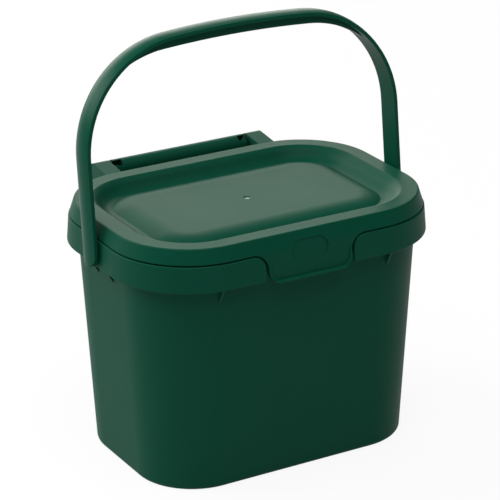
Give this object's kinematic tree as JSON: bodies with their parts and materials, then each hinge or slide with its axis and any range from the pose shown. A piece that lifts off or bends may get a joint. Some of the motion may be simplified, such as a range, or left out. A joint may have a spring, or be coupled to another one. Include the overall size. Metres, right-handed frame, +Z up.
{
  "type": "kitchen compost caddy",
  "caption": "Lidded kitchen caddy for food scraps: tapered tub with a collar, dished hinged lid with a front tab, and a swinging bail handle.",
  "frame": {"origin": "middle of the flat base, on the surface it stands on", "axes": "+Z up, +X to the right seen from the front, the tab faces -Y and the hinge is at +Y"},
  "size_m": [0.2524, 0.1963, 0.3075],
  "materials": {
    "green_plastic": "fine satin moulded surface"
  },
  "bodies": {
    "bin": {"bin": "green_plastic"},
    "lid": {"lid": "green_plastic"},
    "handle": {"handle": "green_plastic"}
  },
  "joints": [
    {"name": "lid_hinge", "type": "hinge", "parent": "bin", "child": "lid", "pos_m": [0, 0.1, 0.18], "axis": [-1, 0, 0], "range_deg": [0, 35]},
    {"name": "handle_pivot", "type": "hinge", "parent": "bin", "child": "handle", "pos_m": [0, 0, 0.163], "axis": [1, 0, 0], "range_deg": [-137, 149]}
  ]
}
